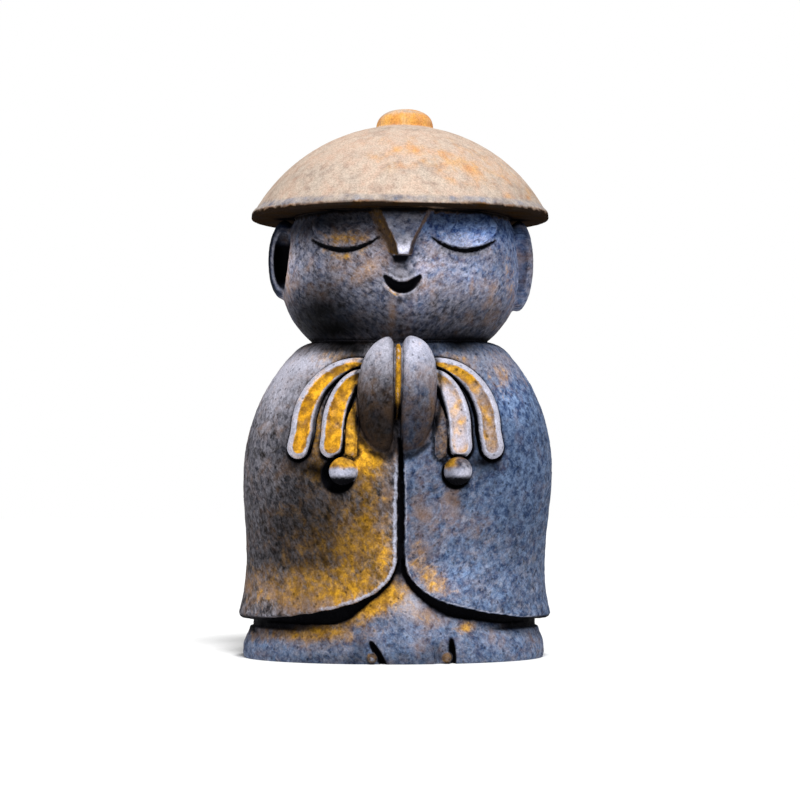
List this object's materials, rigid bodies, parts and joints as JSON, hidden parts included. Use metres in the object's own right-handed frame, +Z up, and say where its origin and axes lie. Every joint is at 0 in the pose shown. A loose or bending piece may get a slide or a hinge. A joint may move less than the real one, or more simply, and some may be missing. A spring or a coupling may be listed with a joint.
{
  "type": "monk statue",
  "caption": "Small cast stone figure of a monk in a domed hat and a long cloak, hands pressed together, which stands on its flat underside.",
  "frame": {"origin": "on the ground, under the middle of the figure's box", "axes": "+Z up through the hat's button, -Y the way the figure faces, +X to its left hand"},
  "size_m": [0.1718, 0.1624, 0.3001],
  "materials": {
    "cast_stone": "matte"
  },
  "bodies": {
    "root": {"monk_statue": "cast_stone"}
  },
  "joints": []
}
